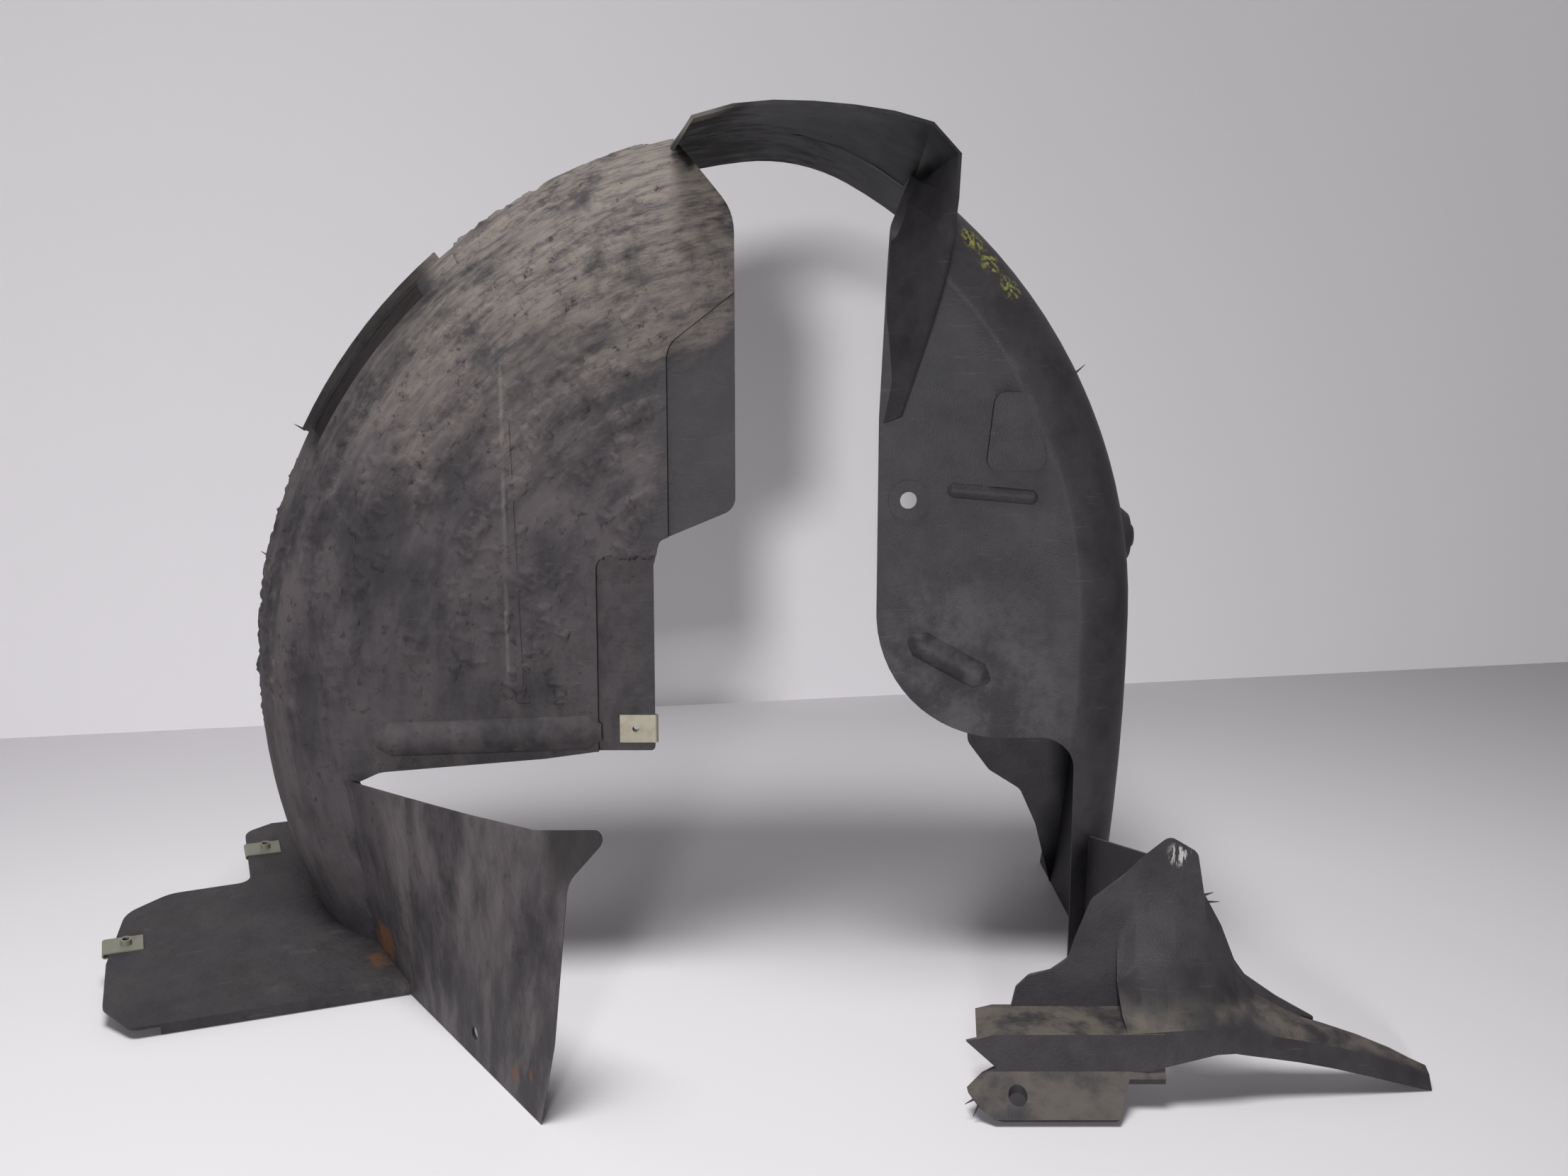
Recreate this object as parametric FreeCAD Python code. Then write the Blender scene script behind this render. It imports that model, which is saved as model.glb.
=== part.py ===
"""Front wheel-arch mudguard: a one-piece moulded liner, its sheet-metal spring nuts and a push rivet.

Millimetres. X runs from the front end to the rear end, Y from the engine side to the wing, Z up.
The wall on the engine side lies in the plane Y = 0 while the part is built. At the end everything
is moved so that the origin is in the middle of the bottom of the bounding box.
"""
import FreeCAD, Part
import math
import os

V = FreeCAD.Vector

# The moulding
wall = 2.5
arch_depth = 250.0          # from the engine-side wall to the wing rim
rim_lip = 14.0              # flange that stands out from the wing rim

# Arch line, seen from the engine side: front arc, crown arc, rear arc and a nearly straight rear leg
front_arch_r = 408.0
front_centre_x = 8.0
front_centre_z = 204.0
front_shoulder_r = 100.0
crown_r = 150.0
rear_arch_r = 380.0
rear_centre_x = -129.0
rear_centre_z = 259.0
rear_shoulder_r = 45.0
rear_set_back = 6.0         # rear wall behind the crest of its shoulder
rear_set_back_run = 18.0
rear_leg_r = 1700.0

# Opening for the suspension strut between the two walls
strut_front_x = -34.0
strut_rear_x = 66.0
strut_depth = 98.0
front_notch_z = 338.0       # the front wall is cut back below this height
front_notch_x = -92.0
front_wall_bottom = 160.0
rear_wall_bottom = 174.0
rear_corner_r = 90.0
rear_leg_width = 44.0
front_leg_top_x = -310.0    # edge of the front leg, at the top and at the floor
front_leg_foot_x = -288.0
front_leg_top_z = 140.0

# Stepped edge of the front wall, beads and pads
step_depth = 5.0
step_width = 47.0
lower_step_width = 40.0
bead_r = 13.0
bead_proud = 9.0
bead_x0 = -280.0
bead_x1 = -140.0
bead_z = 176.0
rear_bead_r = 11.0
rear_bead_proud = 6.0
rear_ridge_r = 6.0
rear_ridge_proud = 3.0
bead_taper = 0.8            # length of a bead's tapered end, in bead radii
seam_half_width = 2.0
seam_proud = 1.2
seam_lean = 6.0
seam_x = -192.0
seam_z0 = 205.0
seam_z1 = 405.0
pad_proud = 6.0
pad_width = 44.0
pad_height = 54.0
pad_inset = 111.0           # from the rear leg line to the pad
pad_z = 365.0
wall_hole_r = 6.0
wall_hole_x = 87.0
wall_hole_z = 344.0
wall_boss_r = 14.0
wall_boss_proud = 2.0

# Slot in the front shoulder, with a lip on each side
slot_angle0 = 133.0
slot_angle1 = 152.0
slot_y0 = 36.0
slot_width = 44.0
slot_lip = 6.0              # height of the lip on the wing side
slot_near_lip = 3.0
slot_lip_gap = 4.0

# Screw holes in the wing rim, in level pairs
rim_hole_r = 3.2
rim_hole_heights = (120.0, 330.0, 500.0)

# Collar over the strut: each station has a point on the shell and a point on the free edge
collar_front_y = -48.0
collar_back_y = 104.0
collar_sink = 1.8           # how far its seat lies below the outside of the shell
collar_ribs = 16

# Splash panel that runs inboard from the front leg
splash_top_z = 180.0
splash_foot = ((-300.0, 20.0), (-128.0, -241.0))
splash_top = ((-343.0, 24.0), (-92.0, -226.0))
splash_hole_r = 4.0
splash_hole_x = -160.0
splash_hole_z = 16.0

# Front apron under the bumper edge: a plate that rises from its near edge
apron_inset = 117.0         # its corner, counted back from the front of the arch line
apron_corner_y = -48.0
apron_corner_z = 8.0
apron_turn = -156.5
apron_rise = 10.0
apron_length = 172.0
apron_width = 176.0
apron_tab_width = 69.0
apron_tab_reach = 277.0
apron_corner_r = 26.0
apron_lip = 8.0

# Foot behind the rear leg, drawn with the leg line at foot_datum_x
foot_datum_x = 251.0
fin_y = -157.0
shelf_z = 45.0
shelf_front_y = -198.0
foot_front_z = 22.0
foot_flange_y = -224.0
foot_flange_z = 4.0
foot_left_x = 108.0
foot_shelf_end_x = 226.0
foot_flange_end_x = 198.0
foot_hole_r = 5.5
foot_hole_x = 137.0
foot_hole_y = -212.0
tie_x0 = 219.0              # side panel from the leg to the fin
tie_x1 = 232.0
tie_top0 = 100.0
tie_top1 = 139.0
arm_ribs = 12
web_y = 198.0               # closing web inside the rear leg, near the wing

# Spring nuts and push rivet
nut_length = 25.0
nut_width = 20.0
nut_sheet = 0.9
nut_hole_r = 2.4
nut_collar_r = 3.9
nut_collar_length = 5.0
nut_clearance = 0.1
nut_seat_hole_r = 4.6
rivet_y = 75.0
rivet_z = 312.0
rivet_head_r = 10.0
rivet_head = 4.0
rivet_stem_r = 4.0
rivet_stem_length = 14.0
rivet_clearance = 0.1
rivet_boss_r = 23.0
rivet_boss_proud = 5.0


def heading(from_x, from_z, to_x, to_z):
    return math.degrees(math.atan2(to_z - from_z, to_x - from_x))


def crown_centre():
    """Centre of the crown arc, which touches the front and rear arcs from inside."""
    front_gap = front_arch_r - crown_r
    rear_gap = rear_arch_r - crown_r
    dx = rear_centre_x - front_centre_x
    dz = rear_centre_z - front_centre_z
    span = math.hypot(dx, dz)
    along = (front_gap ** 2 - rear_gap ** 2 + span ** 2) / (2 * span)
    across = math.sqrt(front_gap ** 2 - along ** 2)
    x = front_centre_x + (along * dx + across * dz) / span
    z = front_centre_z + (along * dz - across * dx) / span
    return x, z


crown_x, crown_z = crown_centre()
front_crown_angle = heading(front_centre_x, front_centre_z, crown_x, crown_z)
rear_crown_angle = heading(rear_centre_x, rear_centre_z, crown_x, crown_z)
front_foot_angle = 180 + math.degrees(math.asin(front_centre_z / front_arch_r)) + 2
leg_line_x = rear_centre_x + rear_arch_r
rear_leg_x = leg_line_x - rear_leg_r
pad_x = leg_line_x - pad_inset
apron_corner = (front_centre_x - front_arch_r + apron_inset, apron_corner_y, apron_corner_z)
reach = 4 * front_arch_r    # safely larger than the part, for cutting blocks
rear_foot_angle = -math.degrees(math.asin(rear_centre_z / rear_leg_r)) - 0.5


def rounded_face(points, place):
    """Face with the given corners; a third value in a corner is its rounding radius."""
    corners = [V(p[0], p[1], 0) for p in points]
    radii = [p[2] if len(p) > 2 else 0 for p in points]
    starts = []
    ends = []
    middles = []
    for i, corner in enumerate(corners):
        before = (corners[i - 1] - corner).normalize()
        after = (corners[(i + 1) % len(corners)] - corner).normalize()
        half = before.getAngle(after) / 2
        if radii[i] == 0:
            starts.append(corner)
            ends.append(corner)
            middles.append(None)
            continue
        back = radii[i] / math.tan(half)
        inward = (before + after).normalize()
        starts.append(corner + before * back)
        ends.append(corner + after * back)
        middles.append(corner + inward * (radii[i] / math.sin(half) - radii[i]))
    edges = []
    for i in range(len(corners)):
        if middles[i] is not None:
            edges.append(Part.Arc(starts[i], middles[i], ends[i]).toShape())
        edges.append(Part.LineSegment(ends[i], starts[(i + 1) % len(corners)]).toShape())
    face = Part.Face(Part.Wire(edges))
    face.Placement = place
    return face


FRONT_VIEW = FreeCAD.Rotation(V(1, 0, 0), 90)      # outline x stays X, outline y becomes Z


def front_prism(points, y0, y1):
    """Outline in the XZ plane, extruded from y0 to y1."""
    face = rounded_face(points, FreeCAD.Placement(V(0, y0, 0), FRONT_VIEW))
    return face.extrude(V(0, y1 - y0, 0))


def arch_sweep(section, centre_x, centre_z, angle0, angle1):
    """Closed section of (radius, y) edges, turned about the arch axis from angle0 to angle1."""
    face = Part.Face(Part.Wire(section))
    face.translate(V(centre_x, 0, centre_z))
    axis = V(0, -1, 0)
    face.rotate(V(centre_x, 0, centre_z), axis, angle0)
    return face.revolve(V(centre_x, 0, centre_z), axis, angle1 - angle0)


def closed(points):
    return Part.makePolygon([V(p[0], p[1], 0) for p in points] + [V(points[0][0], points[0][1], 0)]).Edges


def wall_section(arch_r, shoulder_r, end_r, set_back):
    """Moulded wall from the rim lip over the barrel and the shoulder to the engine-side wall."""
    crest = arch_r - shoulder_r
    inner_r = shoulder_r - wall
    lean = math.sqrt(0.5)
    run = rear_set_back_run if set_back else 0
    outer = [V(arch_r + rim_lip, arch_depth, 0), V(arch_r + rim_lip, arch_depth - wall, 0),
             V(arch_r, arch_depth - wall, 0), V(arch_r, shoulder_r, 0)]
    wall_line = [V(crest, 0, 0), V(crest - run, set_back, 0), V(end_r, set_back, 0),
                 V(end_r, set_back + wall, 0), V(crest - run, set_back + wall, 0), V(crest, wall, 0)]
    if not set_back:
        wall_line = [V(crest, 0, 0), V(end_r, 0, 0), V(end_r, wall, 0), V(crest, wall, 0)]
    inner = [V(arch_r - wall, shoulder_r, 0), V(arch_r - wall, arch_depth, 0)]
    outer_bend = V(crest + shoulder_r * lean, shoulder_r - shoulder_r * lean, 0)
    inner_bend = V(crest + inner_r * lean, shoulder_r - inner_r * lean, 0)
    edges = Part.makePolygon(outer).Edges
    edges += [Part.Arc(outer[-1], outer_bend, wall_line[0]).toShape()]
    edges += Part.makePolygon(wall_line).Edges
    edges += [Part.Arc(wall_line[-1], inner_bend, inner[0]).toShape()]
    edges += Part.makePolygon(inner + [outer[0]]).Edges
    return edges


def arch_shell():
    """Front half, crown, rear half and rear leg, each swept about its own arc."""
    front_end = front_centre_x - strut_front_x
    rear_end = strut_rear_x - rear_centre_x - rear_set_back_run
    leg_end = strut_rear_x - rear_leg_x - rear_set_back_run
    front = arch_sweep(wall_section(front_arch_r, front_shoulder_r, front_end, 0),
                       front_centre_x, front_centre_z, front_crown_angle, front_foot_angle)
    rear = arch_sweep(wall_section(rear_arch_r, rear_shoulder_r, rear_end, rear_set_back),
                      rear_centre_x, rear_centre_z, 0, rear_crown_angle)
    leg = arch_sweep(wall_section(rear_leg_r, rear_shoulder_r, leg_end, rear_set_back),
                     rear_leg_x, rear_centre_z, rear_foot_angle, 0)
    band = [(crown_r, strut_depth - wall), (crown_r, arch_depth - wall), (crown_r + rim_lip, arch_depth - wall),
            (crown_r + rim_lip, arch_depth), (crown_r - wall, arch_depth), (crown_r - wall, strut_depth - wall)]
    crown = arch_sweep(closed(band), crown_x, crown_z, rear_crown_angle, front_crown_angle)
    return front.multiFuse([crown, rear, leg])


def strut_window():
    """Everything that is open in the engine-side wall, in one outline."""
    top = crown_z + crown_r + rim_lip + 20
    low = -10.0
    lean = (front_leg_foot_x - front_leg_top_x) / front_leg_top_z
    outline = [(strut_front_x - 76, top), (strut_front_x - 44, crown_z + 136),
               (strut_front_x, crown_z + 80, 40), (strut_front_x, front_notch_z, 12),
               (front_notch_x + 5, front_notch_z - 22, 6), (front_notch_x, front_notch_z - 40, 5),
               (front_notch_x, front_wall_bottom + 5, 3), (bead_x1 + 6, front_wall_bottom + 5, 3),
               (bead_x1 - 30, front_wall_bottom, 20), (bead_x0 - 8, front_wall_bottom - 10, 20),
               (front_leg_top_x, front_leg_top_z, 4), (front_leg_foot_x - lean * low, low),
               (leg_line_x - rear_leg_width, low), (leg_line_x - rear_leg_width, rear_wall_bottom, 22),
               (strut_rear_x - 1, rear_wall_bottom, rear_corner_r), (strut_rear_x, crown_z - 60, 60),
               (strut_rear_x + 6, crown_z + 70, 20), (strut_rear_x + 54, top)]
    return front_prism(outline, -40, strut_depth)


def step_outlines():
    """The two stretches of the front wall's edge that are set back."""
    upper = [(strut_front_x - step_width, front_notch_z - 45), (strut_front_x + 5, front_notch_z - 45),
             (strut_front_x + 5, crown_z + 30), (strut_front_x - step_width, crown_z - 10, 18)]
    inner_x = front_notch_x - lower_step_width
    outer_x = front_notch_x + 5
    low = front_wall_bottom - 20
    high = front_notch_z - 32
    lower = [(inner_x, low), (outer_x, low), (outer_x, high), (inner_x, high, 10)]
    return upper, lower


def grown(points, margin):
    """The outline of a step with its moulded wall round it."""
    xs = [p[0] for p in points]
    zs = [p[1] for p in points]
    middle_x = (min(xs) + max(xs)) / 2
    middle_z = (min(zs) + max(zs)) / 2
    out = []
    for p in points:
        x = p[0] + math.copysign(margin, p[0] - middle_x)
        z = p[1] + math.copysign(margin, p[1] - middle_z)
        out.append((x, z) + tuple(r + margin for r in p[2:]))
    return out


def rod(x0, z0, x1, z1, y, radius):
    """Round bar with tapered ends in the plane Y = y."""
    start = V(x0, y, z0)
    along = V(x1, y, z1) - start
    bar = Part.makeCylinder(radius, along.Length, start, along)
    taper = radius * bead_taper
    tip = Part.makeCone(radius, radius / 2, taper, start + along, along)
    tail = Part.makeCone(radius, radius / 2, taper, start, along * -1)
    return bar.multiFuse([tip, tail])


def add_beads(shell):
    """Stiffening beads pressed out of the walls towards the engine side, hollow behind."""
    rear_wall_y = rear_set_back
    beads = [(bead_x0, bead_z - 2, bead_x1, bead_z + 3, 0, bead_r, bead_proud),
             (strut_rear_x + 30, rear_wall_bottom + 68, strut_rear_x + 72, rear_wall_bottom + 45,
              rear_wall_y, rear_bead_r, rear_bead_proud),
             (pad_x - 22, pad_z - 14, pad_x + 34, pad_z - 19, rear_wall_y, rear_ridge_r, rear_ridge_proud)]
    for x0, z0, x1, z1, face_y, radius, proud in beads:
        middle_y = face_y - proud + radius
        keep = Part.makeBox(2 * reach, radius, 2 * reach, V(-reach, face_y + wall / 2 - radius, -reach))
        shell = shell.fuse(rod(x0, z0, x1, z1, middle_y, radius).common(keep))
        shell = shell.cut(rod(x0, z0, x1, z1, middle_y, radius - wall))
    foot_x = seam_x + seam_lean
    seam = [(foot_x - seam_half_width, seam_z0), (foot_x + seam_half_width, seam_z0),
            (seam_x + seam_half_width, seam_z1), (seam_x - seam_half_width, seam_z1)]
    return shell.fuse(front_prism(seam, -seam_proud, wall / 2))


def add_rear_pads(shell):
    """Raised pad and screw boss on the rear wall."""
    face_y = rear_set_back
    pad = [(pad_x, pad_z, 8), (pad_x + pad_width, pad_z, 10), (pad_x + pad_width - 12, pad_z + pad_height, 10),
           (pad_x + 6, pad_z + pad_height, 8)]
    inside = [(pad_x + wall, pad_z + wall, 6), (pad_x + pad_width - wall, pad_z + wall, 8),
              (pad_x + pad_width - 12 - wall, pad_z + pad_height - wall, 8),
              (pad_x + 6 + wall, pad_z + pad_height - wall, 6)]
    shell = shell.fuse(front_prism(pad, face_y - pad_proud, face_y + wall / 2))
    shell = shell.cut(front_prism(inside, face_y - pad_proud + wall, face_y + wall + 1))
    centre = V(wall_hole_x, face_y - wall_boss_proud, wall_hole_z)
    shell = shell.fuse(Part.makeCylinder(wall_boss_r, wall_boss_proud + wall / 2, centre, V(0, 1, 0)))
    return shell.cut(Part.makeCylinder(wall_hole_r, 30, centre - V(0, 10, 0), V(0, 1, 0)))


def add_slot(shell):
    """Drain slot in the front shoulder and the lips along its sides."""
    def patch(r0, r1, y0, width, angle0, angle1):
        box = closed([(r0, y0), (r1, y0), (r1, y0 + width), (r0, y0 + width)])
        return arch_sweep(box, front_centre_x, front_centre_z, angle0, angle1)

    def lip(y, height):
        drop = max(front_shoulder_r - y, 0)
        lip_r = front_arch_r - front_shoulder_r + math.sqrt(front_shoulder_r ** 2 - drop ** 2)
        return patch(lip_r - wall, lip_r + height, y, wall, slot_angle0 - 3, slot_angle1 + 1)
    near = lip(slot_y0 - slot_lip_gap, slot_near_lip)
    far = lip(slot_y0 + slot_width + slot_lip_gap, slot_lip)
    slot = patch(front_arch_r - front_shoulder_r, front_arch_r + front_shoulder_r, slot_y0, slot_width,
                 slot_angle0, slot_angle1)
    return shell.fuse(near).fuse(far).cut(slot)


def sampled(points, count):
    """Evenly spread points on the smooth curve through the given ones."""
    curve = Part.BSplineCurve()
    curve.interpolate(points)
    span = curve.LastParameter - curve.FirstParameter
    return [curve.value(curve.FirstParameter + span * i / (count - 1)) for i in range(count)]


def shell_z(x, y):
    """Height of the moulding's outside over a place in the plan."""
    if x < crown_x + crown_r * math.cos(math.radians(front_crown_angle)):
        centre_x, centre_z, arch_r, shoulder_r = front_centre_x, front_centre_z, front_arch_r, front_shoulder_r
    elif x < crown_x + crown_r * math.cos(math.radians(rear_crown_angle)):
        centre_x, centre_z, arch_r, shoulder_r = crown_x, crown_z, crown_r, 0
    else:
        centre_x, centre_z, arch_r, shoulder_r = rear_centre_x, rear_centre_z, rear_arch_r, rear_shoulder_r
    drop = max(shoulder_r - y, 0)
    r = arch_r - shoulder_r + math.sqrt(shoulder_r ** 2 - drop ** 2)
    return centre_z + math.sqrt(r ** 2 - (x - centre_x) ** 2)


def collar():
    """Hood over the strut: a sheet between its seat on the shell and its free edge, from the front
    over the top and down the rear side."""
    lip = collar_front_y
    back = collar_back_y
    top = crown_z + crown_r
    front = strut_front_x
    rear = strut_rear_x
    middle = (front + rear) / 2
    seat = []
    for x, y in ((front - 45, back - 42), (front - 36, back), (front - 6, back), (middle - 6, back),
                 (rear - 4, back), (rear + 26, back - 6), (rear + 25, back - 59), (rear + 21, back - 84)):
        seat.append(V(x, y, shell_z(x, y) - collar_sink))
    seat += [V(rear + 9, rear_set_back - 3, crown_z + 70), V(rear + 5, rear_set_back + 1, crown_z),
             V(rear + 1.5, rear_set_back + 1, crown_z - 64)]
    edge = [V(front - 37, lip, top - 38), V(front - 32, lip, top - 23), V(front - 14, lip, top - 14),
            V(middle + 4, lip, top - 9), V(rear + 10, lip, top - 16), V(rear + 32, lip, top - 23),
            V(rear + 44, lip, top - 33), V(rear + 46, lip, top - 50), V(rear + 43, lip, top - 86),
            V(rear + 32, lip + 20, crown_z + 8), V(rear + 14, -2, crown_z - 58)]
    seats = sampled(seat, collar_ribs)
    edges = sampled(edge, collar_ribs)
    wires = []
    for i in range(collar_ribs):
        before = max(i - 1, 0)
        after = min(i + 1, collar_ribs - 1)
        travel = seats[after] + edges[after] - seats[before] - edges[before]
        skin = (edges[i] - seats[i]).cross(travel).normalize() * wall
        wires.append(Part.makePolygon([seats[i], edges[i], edges[i] + skin, seats[i] + skin, seats[i]]))
    return Part.makeLoft(wires, True, True)


def splash_panel():
    """Twisted panel from the front leg inboard to the floor, cut to its outline seen from the engine side."""
    def strip(ends, z):
        start = V(ends[0][0], ends[0][1], z)
        end = V(ends[1][0], ends[1][1], z)
        side = V(0, 0, 1).cross(end - start).normalize() * wall
        return Part.makePolygon([start, end, end + side, start + side, start])
    sheet = Part.makeLoft([strip(splash_foot, 0), strip(splash_top, splash_top_z)], True, True)
    tip_x = splash_foot[1][0] - 13
    outline = [(-345, front_leg_top_z + 2), (-304, front_leg_top_z + 4), (-201, front_leg_top_z + 14, 40),
               (-150, front_leg_top_z + 20, 10), (-100, splash_top_z - 5, 4), (-104, splash_top_z - 14, 4),
               (-126, front_leg_top_z - 2, 30), (-133, 45, 40), (tip_x, 0), (-345, 0)]
    sheet = sheet.common(front_prism(outline, -400, 60))
    bore = Part.makeCylinder(splash_hole_r, 300, V(splash_hole_x - 110, -300, splash_hole_z), V(0.4, 0.9, 0))
    return sheet.cut(bore)


def apron_place(u, v, up=0.0):
    """Placement of a point of the apron: u along its near edge, v across it, up from its top face."""
    turn = FreeCAD.Rotation(V(0, 0, 1), apron_turn) * FreeCAD.Rotation(V(1, 0, 0), -apron_rise)
    flip = turn * FreeCAD.Rotation(V(1, 0, 0), 180)
    corner = V(*apron_corner)
    return FreeCAD.Placement(corner + flip.multVec(V(u, v, -up)), flip)


def apron():
    """Plate in front of the front leg, with a lip along its near edge and a longer tab beside the leg."""
    shape = [(-60, 0), (apron_length - 15, 0, 8), (apron_length + 2, 30, 10), (apron_length, 85),
             (apron_length - 13, apron_width - 22, apron_corner_r), (apron_length - 44, apron_width, apron_corner_r),
             (apron_tab_width, apron_width + 3, 10), (apron_tab_width - 2, apron_tab_reach - 12, 14),
             (apron_tab_width - 24, apron_tab_reach), (-60, apron_tab_reach)]
    plate = rounded_face(shape, FreeCAD.Placement()).extrude(V(0, 0, wall))
    lip = Part.makeBox(apron_length + 27, wall, apron_lip, V(-60, 0, 0))
    plate = plate.fuse(lip)
    plate.Placement = apron_place(0, 0)
    foot_start = V(*splash_foot[0], 0)
    foot_end = V(*splash_foot[1], 0)
    beyond = Part.makePolygon([foot_start, foot_end, V(0, foot_end.y, 0), V(0, foot_start.y, 0), foot_start])
    return plate.cut(Part.Face(beyond).extrude(V(0, 0, 100)))


def inside_front():
    """Space behind the front half of the moulding, used to trim what meets it from outside."""
    inner_r = front_shoulder_r - wall
    crest = front_arch_r - front_shoulder_r
    lean = math.sqrt(0.5)
    start = V(front_arch_r - wall, front_shoulder_r, 0)
    end = V(crest, wall, 0)
    bend = V(crest + inner_r * lean, front_shoulder_r - inner_r * lean, 0)
    edges = [Part.Arc(start, bend, end).toShape()]
    edges += Part.makePolygon([end, V(60, wall, 0), V(60, arch_depth + 40, 0),
                               V(front_arch_r - wall, arch_depth + 40, 0), start]).Edges
    return arch_sweep(edges, front_centre_x, front_centre_z, 150, 250)


def foot():
    """Foot behind the rear leg: upright fin, dusty shelf with a front face and flange, and a long arm."""
    fin = [(139, shelf_z - 6), (143, 57, 4), (151, 65, 6), (164, 68, 6), (175, 76, 8), (179, 89, 8),
           (188, 113, 8), (208, 129, 10), (219, 140), (235, 153, 6), (252, 143, 6), (257, 115), (259, 99, 10),
           (269, 82), (284, 65), (304, 51), (327, 38), (327, 26), (240, shelf_z - 6)]
    fin_sheet = front_prism(fin, fin_y - wall, fin_y)
    profile = [V(0, fin_y, shelf_z), V(0, shelf_front_y, shelf_z - 1), V(0, shelf_front_y - 2, foot_front_z),
               V(0, foot_flange_y, foot_flange_z), V(0, foot_flange_y + wall, foot_flange_z - wall),
               V(0, shelf_front_y + wall, foot_front_z - wall), V(0, shelf_front_y + wall, shelf_z - 1 - wall),
               V(0, fin_y, shelf_z - wall), V(0, fin_y, shelf_z)]
    length = foot_shelf_end_x - foot_left_x
    shelf = Part.Face(Part.makePolygon(profile)).extrude(V(length, 0, 0))
    shelf.translate(V(foot_left_x, 0, 0))
    left_cut = [(90, 60), (139, 60), (137, 47), (foot_left_x, 40), (126, 24), (foot_left_x, 14),
                (114, 8), (130, 0), (90, 0)]
    shelf = shelf.cut(front_prism(left_cut, -260, -100))
    right_cut = [(foot_flange_end_x + 6, foot_front_z - 3), (foot_shelf_end_x + 9, foot_front_z - 3),
                 (foot_shelf_end_x + 9, -9), (foot_flange_end_x - 12, -9)]
    shelf = shelf.cut(front_prism(right_cut, foot_flange_y - 9, shelf_front_y - 4))
    shelf = shelf.cut(Part.makeCylinder(foot_hole_r, 60, V(foot_hole_x, foot_hole_y, -20), V(0, 0, 1)))
    return fin_sheet, shelf, foot_arm()


def under_line(points):
    """The underside of a bent sheet: its (y, z) line moved in by the wall, with mitred bends."""
    under = []
    for i, (y, z) in enumerate(points):
        sides = []
        for j in (i - 1, i):
            if 0 <= j < len(points) - 1:
                dy = points[j + 1][0] - points[j][0]
                dz = points[j + 1][1] - points[j][1]
                length = math.hypot(dy, dz)
                sides.append((-dz / length, dy / length))
        ny = sum(s[0] for s in sides)
        nz = sum(s[1] for s in sides)
        size = math.hypot(ny, nz)
        mitre = wall * len(sides) / (size * size)
        under.append((y + ny * mitre, z + nz * mitre))
    return under


def foot_arm():
    """Saddle from the fin's peak that narrows into the arm; five points give each cross-section."""
    stations = [(204, ((fin_y, 104), (-164, 62), (-182, 48), (-197, shelf_z - 1), (-200, 22))),
                (228, ((fin_y, 132), (-168, 78), (-184, 54), (-197, shelf_z), (-201, 24))),
                (252, ((fin_y, 122), (-168, 78), (-182, 56), (-195, 46), (-199, 31))),
                (284, ((fin_y, 63), (-166, 58), (-178, 51), (-190, 43), (-195, 30))),
                (328, ((fin_y, 34), (-164, 41), (-174, 40), (-184, 34), (-189, 22))),
                (368, ((fin_y, 14), (-163, 25), (-171, 26), (-179, 21), (-184, 9))),
                (394, ((fin_y - 2, 0), (-163, 9), (-169, 11), (-175, 8), (-180, 0)))]
    lines = []
    for k in range(5):
        lines.append(sampled([V(x, *points[k]) for x, points in stations], arm_ribs))
    wires = []
    for i in range(arm_ribs):
        x = lines[0][i].x
        skin = [(line[i].y, line[i].z) for line in lines]
        loop = skin + under_line(skin)[::-1]
        wires.append(Part.makePolygon([V(x, y, z) for y, z in loop + loop[:1]]))
    return Part.makeLoft(wires, True, True)


def leg_tie():
    """Side panel that carries the foot on the rear leg, and the web that closes the leg near the wing."""
    sheet = Part.makePolygon([V(tie_x0, 12, 0), V(tie_x1, fin_y, 0), V(tie_x1 + wall, fin_y, 0),
                              V(tie_x0 + wall, 12, 0), V(tie_x0, 12, 0)])
    panel = Part.Face(sheet).extrude(V(0, 0, tie_top1 + 10))
    side = [V(0, 20, tie_top0 - 2), V(0, fin_y - 5, tie_top1), V(0, fin_y - 5, shelf_z - 6), V(0, -90, 26),
            V(0, 20, 14), V(0, 20, tie_top0 - 2)]
    panel = panel.common(Part.Face(Part.makePolygon(side)).extrude(V(400, 0, 0)))
    web = [(260, 0), (228, 0), (215, 51, 20), (201, 82, 12), (174, 99, 14), (156, 123, 10), (152, 175, 40),
           (205, 236, 30), (260, 250)]
    drawn_x = rear_leg_x - leg_line_x + foot_datum_x
    inside = Part.makeCylinder(rear_leg_r - wall / 2, reach, V(drawn_x, -arch_depth, rear_centre_z), V(0, 1, 0))
    return panel, front_prism(web, web_y, web_y + wall).common(inside)


def rim_holes():
    """Level pairs of screw holes in the flange at the wing rim."""
    holes = []
    for z in rim_hole_heights:
        front_r = front_arch_r + rim_lip / 2
        front_x = front_centre_x - math.sqrt(front_r ** 2 - (z - front_centre_z) ** 2)
        rear_r = rear_arch_r + rim_lip / 2
        rear_x = rear_centre_x + math.sqrt(rear_r ** 2 - (z - rear_centre_z) ** 2)
        if z < rear_centre_z:
            leg_r = rear_leg_r + rim_lip / 2
            rear_x = rear_leg_x + math.sqrt(leg_r ** 2 - (z - rear_centre_z) ** 2)
        for x in (front_x, rear_x):
            holes.append(Part.makeCylinder(rim_hole_r, 20, V(x, arch_depth - 10, z), V(0, 1, 0)))
    return holes


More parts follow.
